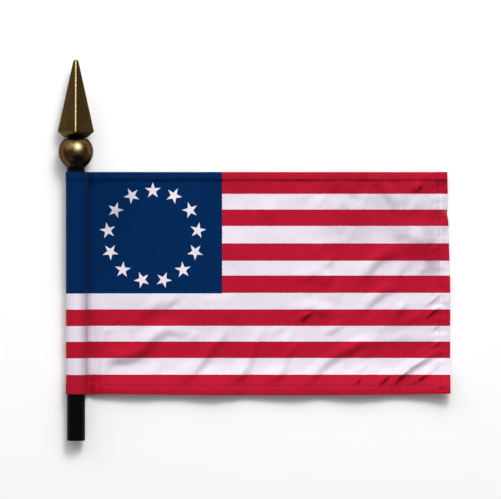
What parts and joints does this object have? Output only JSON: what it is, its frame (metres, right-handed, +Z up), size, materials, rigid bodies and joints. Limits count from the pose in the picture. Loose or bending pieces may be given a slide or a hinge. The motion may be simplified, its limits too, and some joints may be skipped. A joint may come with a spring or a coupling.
{
  "type": "small printed flag on its staff with a spear finial",
  "caption": "Small printed cloth flag with stripes and a ring of stars, sleeved on a black staff with a spear-and-ball finial, lying face up with soft creases.",
  "frame": {"origin": "on the surface that the flag lies on, under the middle of its box", "axes": "+X along the cloth from the staff to the fly edge, +Y along the staff to the finial, +Z up out of the printed face"},
  "size_m": [0.1684, 0.1635, 0.015],
  "materials": {
    "flag_fabric": "plain-woven polyester, printed red, white and navy, stitched hems",
    "staff_paint": "round dowel in satin black paint",
    "finial_brass": "dark antique brass plating under a clear lacquer"
  },
  "bodies": {
    "root": {"flag_cloth": "flag_fabric", "staff": "staff_paint", "spear_finial": "finial_brass"}
  },
  "joints": []
}
